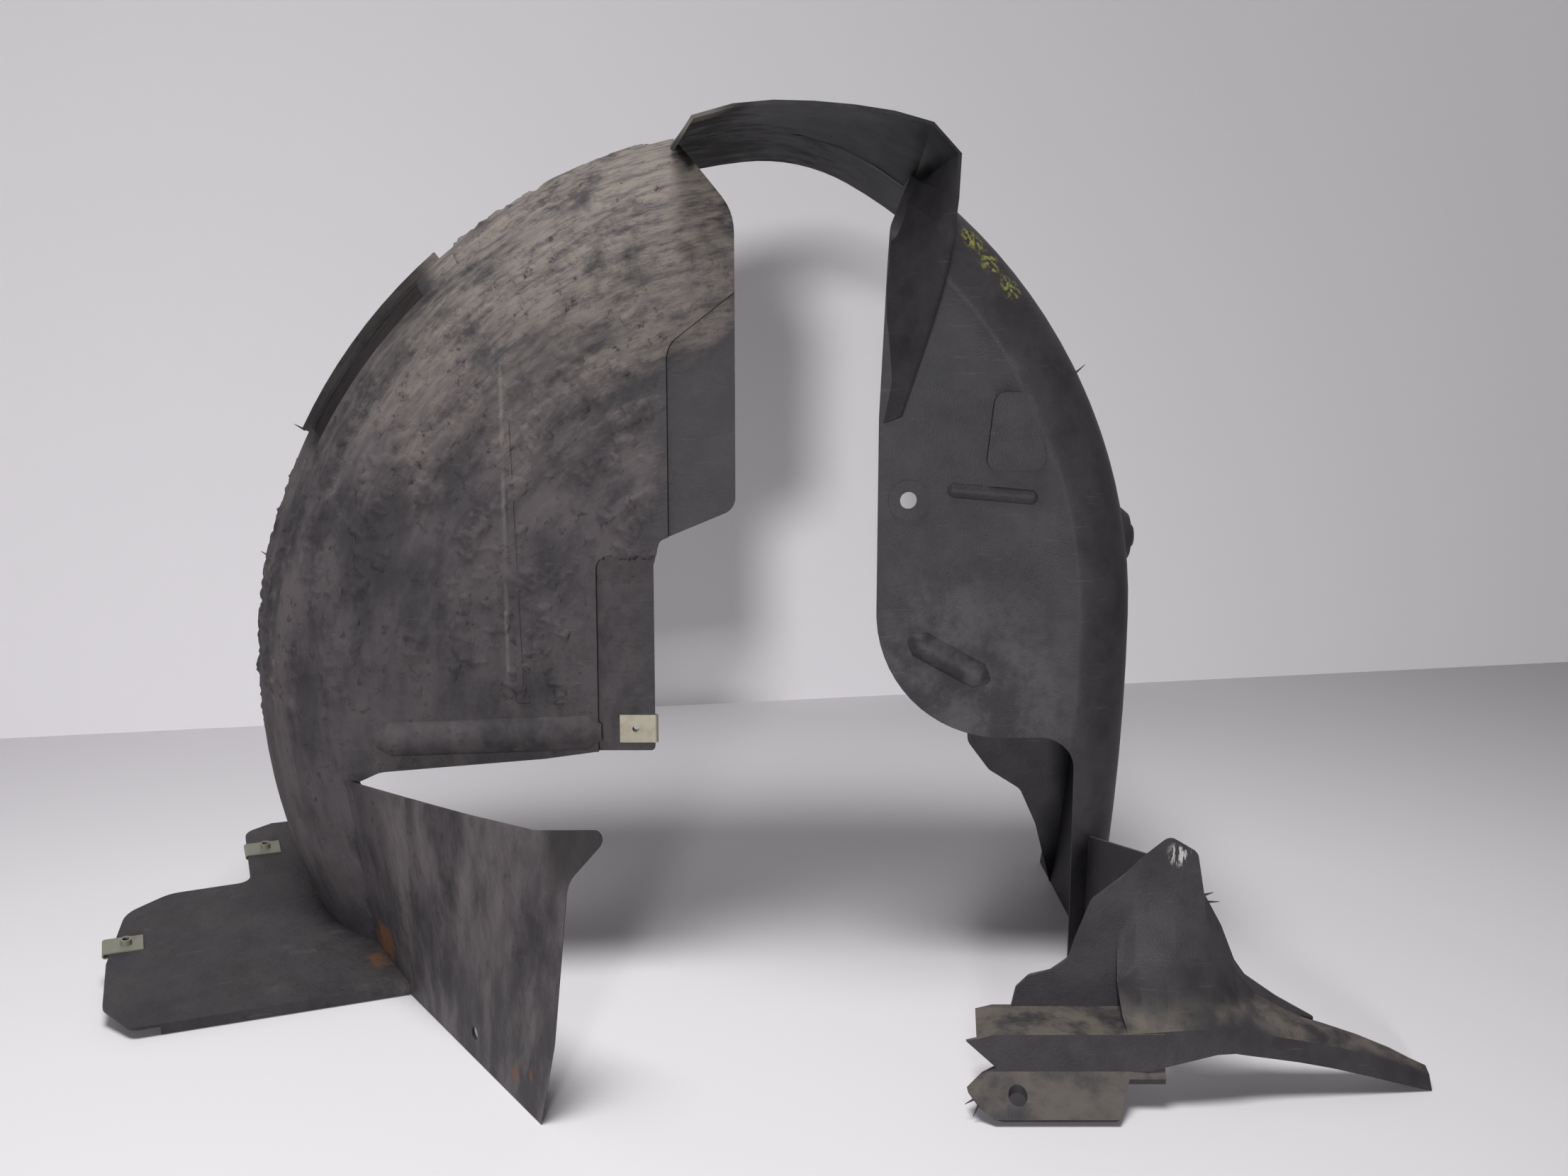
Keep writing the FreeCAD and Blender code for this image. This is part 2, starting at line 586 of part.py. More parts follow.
def spring_nut(place):
    """U-shaped sheet nut that clips over an edge: local X into the sheet, Z across its thickness."""
    gap = wall / 2 + nut_clearance
    half = nut_width / 2
    leaf = Part.makeBox(nut_length, nut_width, nut_sheet, V(0, -half, gap))
    under = Part.makeBox(nut_length, nut_width, nut_sheet, V(0, -half, -gap - nut_sheet))
    outer = Part.makeCylinder(gap + nut_sheet, nut_width, V(0, -half, 0), V(0, 1, 0))
    bend = outer.cut(Part.makeCylinder(gap, nut_width, V(0, -half, 0), V(0, 1, 0)))
    bend = bend.common(Part.makeBox(20, nut_width, 20, V(-20, -half, -10)))
    middle = nut_length * 0.55
    thread = Part.makeCylinder(nut_collar_r, nut_collar_length, V(middle, 0, -gap - nut_collar_length))
    nut = leaf.multiFuse([under, bend, thread])
    nut = nut.cut(Part.makeCylinder(nut_hole_r, 30, V(middle, 0, -15)))
    nut.Placement = place
    return nut


def seat_hole(place):
    """Hole in the moulding under a spring nut."""
    hole = Part.makeCylinder(nut_seat_hole_r, 8 * wall, V(nut_length * 0.55, 0, -4 * wall))
    hole.Placement = place
    return hole


def nut_places():
    """On the front wall's corner, the apron's outer edge and the apron's tab."""
    wall_edge = FreeCAD.Rotation(V(-1, 0, 0), V(0, 0, -1), V(0, -1, 0))
    inward = FreeCAD.Rotation(V(0, 0, 1), 180)
    edge_u = apron_length + 0.5
    edge = apron_place(edge_u, 108, -wall / 2)
    tab = apron_place(apron_tab_width - 1.5, 232, -wall / 2)
    return [FreeCAD.Placement(V(front_notch_x, step_depth + wall / 2, front_wall_bottom + 21), wall_edge),
            FreeCAD.Placement(edge.Base, edge.Rotation * inward),
            FreeCAD.Placement(tab.Base, tab.Rotation * inward)]


def push_rivet():
    """Round-headed plastic rivet through the boss on the rear leg's outside."""
    seat_x = rear_centre_x + rear_arch_r + rivet_boss_proud
    head = Part.makeCylinder(rivet_head_r, rivet_head, V(seat_x, rivet_y, rivet_z), V(1, 0, 0))
    rim = [e for e in head.Edges if e.BoundBox.XMin > seat_x + rivet_head / 2]
    head = head.makeChamfer(rivet_head * 0.6, rim)
    stem_r = rivet_stem_r - rivet_clearance
    stem = Part.makeCylinder(stem_r, rivet_stem_length, V(seat_x, rivet_y, rivet_z), V(-1, 0, 0))
    return head.fuse(stem)


def rivet_boss(shell):
    """Pad on the barrel for the push rivet, flat outside and open behind."""
    seat_x = rear_centre_x + rear_arch_r + rivet_boss_proud
    pad = Part.makeCone(rivet_boss_r + 6, rivet_boss_r - 6, 14, V(seat_x - 14, rivet_y, rivet_z), V(1, 0, 0))
    hollow = Part.makeCone(rivet_boss_r + 6 - wall, rivet_boss_r - 6 - wall, 14,
                           V(seat_x - 14 - wall, rivet_y, rivet_z), V(1, 0, 0))
    shell = shell.fuse(pad).cut(hollow)
    return shell.cut(Part.makeCylinder(rivet_stem_r, 60, V(seat_x - 40, rivet_y, rivet_z), V(1, 0, 0)))


def build_liner():
    shell = arch_shell()
    for outline in step_outlines():
        shell = shell.fuse(front_prism(grown(outline, wall), 0, step_depth + wall))
        shell = shell.cut(front_prism(outline, -5, step_depth))
    shell = add_beads(shell)
    shell = add_rear_pads(shell)
    shell = shell.cut(strut_window())
    shell = add_slot(shell)
    shell = rivet_boss(shell)
    trimmed_apron = apron().cut(inside_front())
    pieces = [collar(), splash_panel().cut(inside_front()), trimmed_apron]
    for piece in list(foot()) + list(leg_tie()):
        piece.translate(V(leg_line_x - foot_datum_x, 0, 0))
        pieces.append(piece)
    shell = shell.multiFuse(pieces)
    for hole in rim_holes() + [seat_hole(p) for p in nut_places()]:
        shell = shell.cut(hole)
    floor = Part.makeBox(2 * reach, 2 * reach, reach, V(-reach, -reach, -reach))
    return shell.cut(floor)


def main():
    os.makedirs("parts", exist_ok=True)
    liner = build_liner()
    print("liner solids", [round(s.Volume) for s in liner.Solids], liner.isValid())
    nuts = Part.makeCompound([spring_nut(p) for p in nut_places()])
    nodes = {"liner": liner, "spring_nuts": nuts, "push_rivet": push_rivet()}
    box = Part.makeCompound(list(nodes.values())).optimalBoundingBox(False, False)
    print("box", box)
    to_origin = V(-box.Center.x, -box.Center.y, -box.ZMin)
    for name, shape in nodes.items():
        shape.translate(to_origin)
        shape.exportStep("parts/" + name + ".step")


main()
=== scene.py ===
# %% [markdown]
# # A dusty mudguard from a car's front wheel arch
# The part is one black moulding that stands on its own feet, seen from the engine side. Its forms come
# from the CAD model. This lesson gives it an aged plastic finish, road dust, dried mud, dull metal clips
# and a plain room, with the camera where the photographer stood.

# %% Load the CAD frame and keep its box
import bpy
import bmesh
import math
from mathutils import Matrix, Vector, noise
from mathutils.bvhtree import BVHTree


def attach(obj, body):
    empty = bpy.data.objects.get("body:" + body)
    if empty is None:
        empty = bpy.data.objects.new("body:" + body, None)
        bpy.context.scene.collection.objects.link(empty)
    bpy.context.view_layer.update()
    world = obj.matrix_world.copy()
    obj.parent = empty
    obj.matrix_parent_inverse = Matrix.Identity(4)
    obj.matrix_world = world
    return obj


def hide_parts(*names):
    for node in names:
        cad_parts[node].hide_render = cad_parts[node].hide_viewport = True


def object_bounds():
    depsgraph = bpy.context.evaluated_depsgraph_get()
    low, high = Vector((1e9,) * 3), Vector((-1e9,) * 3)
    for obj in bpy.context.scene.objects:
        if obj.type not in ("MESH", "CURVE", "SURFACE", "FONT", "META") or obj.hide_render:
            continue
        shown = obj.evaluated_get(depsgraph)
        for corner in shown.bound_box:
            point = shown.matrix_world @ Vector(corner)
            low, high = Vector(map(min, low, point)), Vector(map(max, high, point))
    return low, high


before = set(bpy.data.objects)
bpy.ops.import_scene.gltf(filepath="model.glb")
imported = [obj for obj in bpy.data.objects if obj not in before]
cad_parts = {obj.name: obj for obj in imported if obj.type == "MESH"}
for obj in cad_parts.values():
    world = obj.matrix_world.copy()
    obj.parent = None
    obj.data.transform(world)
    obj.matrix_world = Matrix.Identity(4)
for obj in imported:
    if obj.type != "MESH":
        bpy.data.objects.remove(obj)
box_before = [list(corner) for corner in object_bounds()]
print("box of the CAD frame", box_before)

# %% [markdown]
# ## Where things are
# The CAD model was drawn with the strut opening near X = 0 and the engine-side wall at Y = 0, and was
# then moved to stand in the middle of its own box. The drawing's highest X and Y are known, so the move can
# be worked out from the frame's box. One small function then turns drawing millimetres into metres of this
# frame, so that places below can be read off the drawing.

# %% Drawing millimetres to frame metres
DRAWN_RIGHT = 0.394
DRAWN_FAR = 0.250
SHIFT_X = (box_before[1][0] - DRAWN_RIGHT) * 1000
SHIFT_Y = (box_before[1][1] - DRAWN_FAR) * 1000


def spot(x, y, z):
    """Place in this frame of a point given in drawing millimetres."""
    return Vector(((x + SHIFT_X) / 1000, (y + SHIFT_Y) / 1000, z / 1000))


ARCH = spot(8, 0, 204)      # centre of the front half's arch
print("the drawing is moved by", round(SHIFT_X, 2), round(SHIFT_Y, 2), "mm")

# %% [markdown]
# ## Node helpers
# Materials here are made only of nodes. They could be wired one link at a time, but then each step would
# take five lines. A few short helpers keep the cells readable: they make a node, feed a socket with a
# number or another socket, and build the usual steps of sums, ramps and mixes. An effect that several
# finishes share is a group: its inputs take each finish's own values.

# %% Helpers for shader nodes
def node(tree, kind, **settings):
    made = tree.nodes.new(kind)
    for name, value in settings.items():
        setattr(made, name, value)
    return made


def feed(tree, socket, value):
    if hasattr(value, "is_output"):
        tree.links.new(value, socket)
    else:
        socket.default_value = value


def calc(tree, operation, a, b=0.0, clamp=False):
    made = node(tree, "ShaderNodeMath", operation=operation, use_clamp=clamp)
    feed(tree, made.inputs[0], a)
    feed(tree, made.inputs[1], b)
    return made.outputs[0]


def times(tree, *values):
    total = values[0]
    for value in values[1:]:
        total = calc(tree, "MULTIPLY", total, value)
    return total


def ramp(tree, value, low, high):
    made = node(tree, "ShaderNodeMapRange", clamp=True, interpolation_type="SMOOTHSTEP")
    feed(tree, made.inputs["Value"], value)
    feed(tree, made.inputs["From Min"], low)
    feed(tree, made.inputs["From Max"], high)
    return made.outputs["Result"]


def grains(tree, vector, scale, detail=4.0, roughness=0.55):
    made = node(tree, "ShaderNodeTexNoise")
    feed(tree, made.inputs["Vector"], vector)
    feed(tree, made.inputs["Scale"], scale)
    feed(tree, made.inputs["Detail"], detail)
    feed(tree, made.inputs["Roughness"], roughness)
    return made.outputs["Fac"]


def mix(tree, share, a, b):
    made = node(tree, "ShaderNodeMix", data_type="RGBA")
    feed(tree, made.inputs["Factor"], share)
    feed(tree, made.inputs[6], a)
    feed(tree, made.inputs[7], b)
    return made.outputs[2]


def position(tree):
    place = node(tree, "ShaderNodeTexCoord").outputs["Object"]
    split = node(tree, "ShaderNodeSeparateXYZ")
    tree.links.new(place, split.inputs[0])
    return place, split.outputs[0], split.outputs[1], split.outputs[2]


def near(tree, place, point, radius, ragged=0.0):
    """One in the middle of a round spot, nothing outside it; ragged adds noise to its rim."""
    made = node(tree, "ShaderNodeVectorMath", operation="DISTANCE")
    feed(tree, made.inputs[0], place)
    feed(tree, made.inputs[1], point)
    away = made.outputs["Value"]
    if ragged:
        rough = calc(tree, "SUBTRACT", grains(tree, place, 1.2 / radius, 5.0, 0.7), 0.5)
        away = calc(tree, "ADD", away, times(tree, rough, radius * ragged))
    return ramp(tree, away, radius, radius * 0.35)


def material(name):
    made = bpy.data.materials.new(name)
    made.use_nodes = True
    return made, made.node_tree, made.node_tree.nodes["Principled BSDF"]


def group(name, inputs, outputs):
    """Empty shader group, with what it is given and what it puts out."""
    made = bpy.data.node_groups.new(name, "ShaderNodeTree")
    for direction, labels in (("INPUT", inputs), ("OUTPUT", outputs)):
        for label in labels:
            made.interface.new_socket(name=label, in_out=direction, socket_type="NodeSocketFloat")
    return made, node(made, "NodeGroupInput").outputs, node(made, "NodeGroupOutput").inputs


def use(tree, shared, **values):
    """Outputs of a shared group, placed with this finish's own values."""
    placed = node(tree, "ShaderNodeGroup")
    placed.node_tree = shared
    for label, value in values.items():
        placed.inputs[label].default_value = value
    return placed.outputs


print("helpers ready")

# %% [markdown]
# ## Fine grain
# Old polypropylene is never quite even: it has a fine moulded grain, and handling leaves it blotchy and
# scratched. A picture could hold all that, but noise has no seams and stays sharp close up. The group takes
# how fine the grain and the blotches are, because the clips and the rivet use it too.

# %% Group: grain
grain, given, out = group("grain", ["Fineness", "Blotches"], ["Height", "Blotch", "Scratch"])
place, x, y, z = position(grain)
feed(grain, out["Height"], grains(grain, place, given["Fineness"], 3.0))
feed(grain, out["Blotch"], grains(grain, place, given["Blotches"], 6.0, 0.6))
stretch = node(grain, "ShaderNodeMapping")
stretch.inputs["Scale"].default_value = (30.0, 30.0, 420.0)
stretch.inputs["Rotation"].default_value = (0.0, 0.5, 0.3)
grain.links.new(place, stretch.inputs["Vector"])
feed(grain, out["Scratch"], ramp(grain, grains(grain, stretch.outputs[0], 1.0, 2.0), 0.66, 0.74))
print("group", grain.name, "has", len(grain.nodes), "nodes")

# %% [markdown]
# ## Road dirt
# The wheel throws dirt along the arch, so the streaks follow its curve. A painted mask would need the
# surface unrolled. The group instead turns the place into an angle and a radius about the arch centre and
# stretches the noise along the angle. Tan dust lies on the upper front dome, grey mud with dark specks on
# the lower front wall, and the set-back edges stay cleaner.

# %% Group: road dirt
dirt, given, out = group("road_dirt", ["Streaks", "Patches"], ["Tan", "Mud", "Specks", "Height"])
place, x, y, z = position(dirt)
from_x = calc(dirt, "SUBTRACT", x, ARCH.x)
from_z = calc(dirt, "SUBTRACT", z, ARCH.z)
angle = calc(dirt, "ARCTAN2", from_z, calc(dirt, "MULTIPLY", from_x, -1.0))
radius = calc(dirt, "SQRT", calc(dirt, "ADD", times(dirt, from_x, from_x), times(dirt, from_z, from_z)))
swept = node(dirt, "ShaderNodeCombineXYZ")
feed(dirt, swept.inputs[0], times(dirt, angle, 0.085))
feed(dirt, swept.inputs[1], radius)
feed(dirt, swept.inputs[2], y)
streaks = grains(dirt, swept.outputs[0], given["Streaks"], 9.0, 0.66)
fine = grains(dirt, swept.outputs[0], 190.0, 6.0, 0.72)
wander = times(dirt, calc(dirt, "SUBTRACT", grains(dirt, place, 45.0, 5.0), 0.5), 0.07)
edge = calc(dirt, "ADD", spot(-94, 0, 0).x, times(dirt, ramp(dirt, z, 0.42, 0.47), 0.060))
widen = calc(dirt, "SUBTRACT", 1.0, times(dirt, ramp(dirt, y, 0.02, 0.09), 0.8))
past_edge = times(dirt, calc(dirt, "SUBTRACT", x, edge), widen)
front = ramp(dirt, calc(dirt, "ADD", past_edge, wander), 0.020, -0.020)
tilt = calc(dirt, "ADD", z, times(dirt, calc(dirt, "SUBTRACT", streaks, 0.5), 0.34))
high = ramp(dirt, tilt, 0.33, 0.56)
patches = grains(dirt, place, given["Patches"], 9.0, 0.68)
tan = times(dirt, front, high, ramp(dirt, fine, 0.30, 0.62), ramp(dirt, patches, 0.30, 0.52))
# The mud's grey share grows upwards and towards the rounded shoulder, so the dome is darker towards the
# bottom.
round_side = times(dirt, ramp(dirt, y, spot(0, 5, 0).y, spot(0, 40, 0).y), 0.9)
upper = times(dirt, ramp(dirt, z, 0.20, 0.50), 0.65)
depth = calc(dirt, "ADD", upper, calc(dirt, "ADD", round_side, 0.60), clamp=True)
mottle = calc(dirt, "ADD", times(dirt, streaks, 0.5), times(dirt, patches, 0.5))
mud = times(dirt, front, ramp(dirt, mottle, 0.40, 0.58), ramp(dirt, z, 0.02, 0.10), depth)
specks = times(dirt, front, ramp(dirt, grains(dirt, place, 130.0, 6.0, 0.7), 0.55, 0.68),
               ramp(dirt, streaks, 0.40, 0.56))
feed(dirt, out["Tan"], tan)
feed(dirt, out["Mud"], mud)
feed(dirt, out["Specks"], specks)
feed(dirt, out["Height"], times(dirt, front, calc(dirt, "ADD", streaks, times(dirt, fine, 0.6))))
print("group", dirt.name, "has", len(dirt.nodes), "nodes")

# %% [markdown]
# ## Dust that settles
# Dust stays where a surface faces up: on the foot's shelf, the arm and, thinly, the apron. It could be
# laid on by hand, place by place. The object's own normal already tells which way a surface faces, so a
# mask made from it finds all these places at once, and noise breaks the layer up.

# %% Group: settled dust
settled, given, out = group("settled_dust", ["Patches"], ["Mask"])
place, x, y, z = position(settled)
facing = node(settled, "ShaderNodeSeparateXYZ")
settled.links.new(node(settled, "ShaderNodeTexCoord").outputs["Normal"], facing.inputs[0])
upward = ramp(settled, facing.outputs[2], 0.55, 0.95)
patchy = ramp(settled, grains(settled, place, given["Patches"], 6.0, 0.65), 0.30, 0.62)
low = ramp(settled, z, 0.20, 0.08)
behind = ramp(settled, x, -0.10, 0.12)
share = calc(settled, "ADD", times(settled, behind, 0.75), 0.06)
feed(settled, out["Mask"], times(settled, upward, patchy, low, share))
print("group", settled.name, "has", len(settled.nodes), "nodes")

# %% [markdown]
# ## Aged black plastic
# The moulding's own colour is a dark grey with a few fine scratches. The dirt groups lay mud, tan dust and
# specks over it, one mix after the other, so the last layer lies on top.

# %% Moulding: plastic and road dirt
FRESH_BLACK = (0.015, 0.014, 0.016, 1)
FADED_BLACK = (0.048, 0.044, 0.049, 1)
SCRATCH_GREY = (0.16, 0.155, 0.16, 1)
MUD_GREY = (0.102, 0.088, 0.092, 1)
DUST_TAN = (0.225, 0.195, 0.170, 1)
SPECK_BROWN = (0.022, 0.019, 0.020, 1)
SHELF_DUST = (0.150, 0.130, 0.108, 1)
GRAIN_FINENESS = 700.0
GRAIN_BLOTCHES = 24.0

moulding, tree, shader = material("aged_moulding")
place, x, y, z = position(tree)
fine_grain = use(tree, grain, Fineness=GRAIN_FINENESS, Blotches=GRAIN_BLOTCHES)
road = use(tree, dirt, Streaks=46.0, Patches=20.0)
dust = use(tree, settled, Patches=40.0)["Mask"]
clean = mix(tree, fine_grain["Blotch"], FRESH_BLACK, FADED_BLACK)
clean = mix(tree, times(tree, fine_grain["Scratch"], 0.12), clean, SCRATCH_GREY)
colour = mix(tree, times(tree, road["Mud"], 0.9), clean, MUD_GREY)
colour = mix(tree, times(tree, road["Tan"], 0.95), colour, DUST_TAN)
colour = mix(tree, times(tree, road["Specks"], 0.85), colour, SPECK_BROWN)
colour = mix(tree, dust, colour, SHELF_DUST)
print("moulding has", len(tree.nodes), "nodes")

# %% [markdown]
# ## Dirt and shade of single places
# The splash panel has runs of washed-off dirt. Undersides of the crown, the hood and the slot are painted
# dark as shade, since they face down or lie in a recess. A worn line marks the mould seam on the front wall.
# Near its foot, by the lower bead, the rear wall carries a painted highlight, and a faint hazy tone lies
# over the whole moulding. Masks of place and direction put each of these where the photo shows it.

# %% Moulding: single places
RUN_GREY = (0.125, 0.110, 0.113, 1)
UNDERSIDE_SHADE = (0.007, 0.007, 0.008, 1)
HOOD_SHADE = (0.010, 0.010, 0.011, 1)
SLOT_SHADE = (0.008, 0.008, 0.008, 1)
SEAM_GREY = (0.34, 0.32, 0.30, 1)
HAZE_AND_HIGHLIGHT_GREY = (0.105, 0.097, 0.102, 1)

panel = times(tree, ramp(tree, y, spot(0, -18, 0).y, spot(0, -40, 0).y), ramp(tree, x, -0.02, -0.06),
              ramp(tree, x, -0.26, -0.22))
washed = node(tree, "ShaderNodeMapping")
washed.inputs["Scale"].default_value = (30.0, 30.0, 13.0)
tree.links.new(place, washed.inputs["Vector"])
runs = ramp(tree, grains(tree, washed.outputs[0], 1.0, 7.0, 0.65), 0.42, 0.70)
colour = mix(tree, times(tree, panel, runs, 0.85), colour, RUN_GREY)
outward = node(tree, "ShaderNodeSeparateXYZ")
tree.links.new(node(tree, "ShaderNodeTexCoord").outputs["Normal"], outward.inputs[0])
# Painted shade: faces that point down, high on the crown, are darkened.
underside_shade = times(tree, ramp(tree, outward.outputs[2], -0.3, -0.7), ramp(tree, z, 0.50, 0.56))
colour = mix(tree, times(tree, underside_shade, 0.9), colour, UNDERSIDE_SHADE)
# Painted shade under the hood's front edge.
hood = times(tree, ramp(tree, y, spot(0, -6, 0).y, spot(0, -12, 0).y), ramp(tree, z, 0.55, 0.58))
colour = mix(tree, times(tree, hood, 0.9), colour, HOOD_SHADE)
# Painted shade inside the slot on the dome's shoulder.
slot_turn = calc(tree, "ARCTAN2", calc(tree, "SUBTRACT", z, ARCH.z), calc(tree, "SUBTRACT", ARCH.x, x))
slot_shade = times(tree, ramp(tree, slot_turn, math.radians(25), math.radians(28)),
                  ramp(tree, slot_turn, math.radians(50), math.radians(47)),
                  ramp(tree, y, spot(0, 30, 0).y, spot(0, 38, 0).y),
                  ramp(tree, y, spot(0, 92, 0).y, spot(0, 82, 0).y))
colour = mix(tree, times(tree, slot_shade, 0.9), colour, SLOT_SHADE)
off_seam = calc(tree, "ABSOLUTE", calc(tree, "SUBTRACT", x, spot(-195, 0, 0).x))
seam = times(tree, ramp(tree, off_seam, 0.0020, 0.0005), ramp(tree, z, 0.20, 0.23),
             ramp(tree, z, 0.47, 0.44), ramp(tree, y, spot(0, 12, 0).y, spot(0, 4, 0).y),
             ramp(tree, grains(tree, place, 25.0, 3.0), 0.40, 0.60))
colour = mix(tree, times(tree, seam, 0.18), colour, SEAM_GREY)
# Painted highlight: a pale patch by the rear wall's lower bead stands in for the light on its bulge. The
# next mix lays a faint hazy tone over the whole moulding.
bead_highlight = near(tree, place, spot(120, 0, 205), 0.110, 0.5)
haze_and_sheen = ramp(tree, grains(tree, place, 32.0, 8.0, 0.7), 0.38, 0.66)
colour = mix(tree, times(tree, bead_highlight, haze_and_sheen, 0.5), colour, HAZE_AND_HIGHLIGHT_GREY)
colour = mix(tree, times(tree, haze_and_sheen, 0.16), colour, HAZE_AND_HIGHLIGHT_GREY)
print("moulding has", len(tree.nodes), "nodes")

# %% [markdown]
# ## Stains and marks
# A rust stain sits in the corner by the apron, with two small spots on the splash panel's tip. The hood's
# left end is dusty, the splash panel's upper corner carries painted shade as if it were folded away from the
# light, the foot's peak has white streaks, and dabs of yellow paint lie on the rear shoulder. Decals could
# carry such marks, but a round mask with a ragged rim needs no extra surface and follows the wall's curve.

# %% Moulding: stains and marks
CAP_DUST = (0.24, 0.22, 0.19, 1)
TAB_SHADE = (0.020, 0.019, 0.020, 1)
RUST_BROWN = (0.13, 0.058, 0.030, 1)
PEAK_WHITE = (0.42, 0.41, 0.40, 1)
PAINT_YELLOW = (0.27, 0.27, 0.05, 1)

cap = near(tree, place, spot(-58, -40, 600), 0.030, 0.5)
colour = mix(tree, times(tree, cap, 0.5), colour, CAP_DUST)
# Painted shade on the splash panel's upper corner, standing in for a fold away from the light.
tab_shade = near(tree, place, spot(-122, -200, 164), 0.046, 0.3)
colour = mix(tree, times(tree, tab_shade, 0.75), colour, TAB_SHADE)
rust = near(tree, place, spot(-288, -8, 28), 0.020, 2.2)
for point in ((-163, -186, 14), (-152, -204, 22)):
    rust = calc(tree, "MAXIMUM", rust, near(tree, place, spot(*point), 0.006, 1.2))
colour = mix(tree, times(tree, rust, 0.85), colour, RUST_BROWN)
drawn = node(tree, "ShaderNodeMapping")
drawn.inputs["Scale"].default_value = (520.0, 60.0, 130.0)
drawn.inputs["Rotation"].default_value = (0.0, 0.35, 0.0)
tree.links.new(place, drawn.inputs["Vector"])
# White streaks on the foot's peak.
peak_streaks = times(tree, near(tree, place, spot(240, -159, 142), 0.009, 0.8),
               ramp(tree, grains(tree, drawn.outputs[0], 1.0, 3.0, 0.6), 0.50, 0.60))
colour = mix(tree, peak_streaks, colour, PEAK_WHITE)
paint = None
for point in ((130, 17, 524), (142, 15, 508), (157, 14, 491)):
    dab = near(tree, place, spot(*point), 0.012, 1.4)
    paint = dab if paint is None else calc(tree, "MAXIMUM", paint, dab)
paint = times(tree, paint, ramp(tree, grains(tree, place, 260.0, 3.0, 0.7), 0.47, 0.56),
              ramp(tree, outward.outputs[1], -0.1, -0.3))
colour = mix(tree, times(tree, paint, 0.7), colour, PAINT_YELLOW)
tree.links.new(colour, shader.inputs["Base Color"])
print("moulding has", len(tree.nodes), "nodes")

# %% [markdown]
# ## Sheen and relief
# Old polypropylene has only a weak sheen, and dirt takes that away, so the roughness follows the dirt
# masks. The streaks and the grain are too shallow to be worth geometry, so their heights are added and go
# through one bump node.

# %% Moulding: sheen and relief
shader.inputs["Specular IOR Level"].default_value = 0.16
dirty = calc(tree, "MAXIMUM", calc(tree, "MAXIMUM", road["Mud"], road["Tan"]), dust)
dull = calc(tree, "ADD", times(tree, fine_grain["Blotch"], 0.2), 0.38)
feed(tree, shader.inputs["Roughness"], calc(tree, "ADD", times(tree, dirty, 0.42), dull))
relief = node(tree, "ShaderNodeBump")
relief.inputs["Strength"].default_value = 0.8
relief.inputs["Distance"].default_value = 0.0024
feed(tree, relief.inputs["Height"],
     calc(tree, "ADD", road["Height"], times(tree, fine_grain["Height"], 0.12)))
tree.links.new(relief.outputs[0], shader.inputs["Normal"])
print("moulding has", len(tree.nodes), "nodes")

# %% [markdown]
# ## The moulding's skin
# The CAD mesh has a seam of doubled points along every face border, so light would break there. A copy
# is merged into one closed skin. Edges that bend sharply stay crisp, all others are shaded smoothly, and
# the weighted normals keep the flat walls flat.

# %% Skin of the liner
MERGE_DISTANCE = 0.00002


def piece_from(shape, name, finish):
    """Object made from a bmesh, riding on the part."""
    data = bpy.data.meshes.new(name)
    shape.to_mesh(data)
    shape.free()
    data.materials.append(finish)
    made = bpy.data.objects.new(name, data)
    bpy.context.scene.collection.objects.link(made)
    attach(made, "root")
    print(name, "has", len(data.polygons), "faces")
    return made


def merged_copy(source, sharp_angle):
    """Bmesh of a CAD node, closed along its face borders, with the sharp edges marked."""
    shape = bmesh.new()
    shape.from_mesh(source.data)
    bmesh.ops.remove_doubles(shape, verts=shape.verts, dist=MERGE_DISTANCE)
    for face in shape.faces:
        face.smooth = True
    for rim in shape.edges:
        rim.smooth = len(rim.link_faces) == 2 and rim.calc_face_angle(0.0) < math.radians(sharp_angle)
    return shape


skin = piece_from(merged_copy(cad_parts["liner"], 34), "liner_skin", moulding)
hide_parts("liner")
even = skin.modifiers.new("even_normals", "WEIGHTED_NORMAL")
even.keep_sharp = True

# %% [markdown]
# ## Dried mud
# On the front dome the dirt is thick enough to cast its own shadows. A bump node can't do that, and it
# leaves the outline smooth, so the mud is real geometry: a fine sheet is spun about the arch centre,
# along the wall and round the shoulder, then pushed out by noise. Where the noise is low there is no mud,
# and those faces are removed. The mud wears the same dirty finish, so it blends into the dust around it. A
# solidify modifier gives each patch a closed body that is sunk into the wall.

# %% Mud sheet over the front dome
MUD_FIRST_ANGLE = 98.0      # degrees about the arch centre, from the rear over the top
MUD_LAST_ANGLE = 186.0
MUD_STEPS = 260
ARCH_R = 0.408
SHOULDER_R = 0.100
MUD_INNER_R = 0.130
WALL_POINTS = 72
SHOULDER_POINTS = 60
SHOULDER_TURN = 88          # degrees of the shoulder that the mud goes round

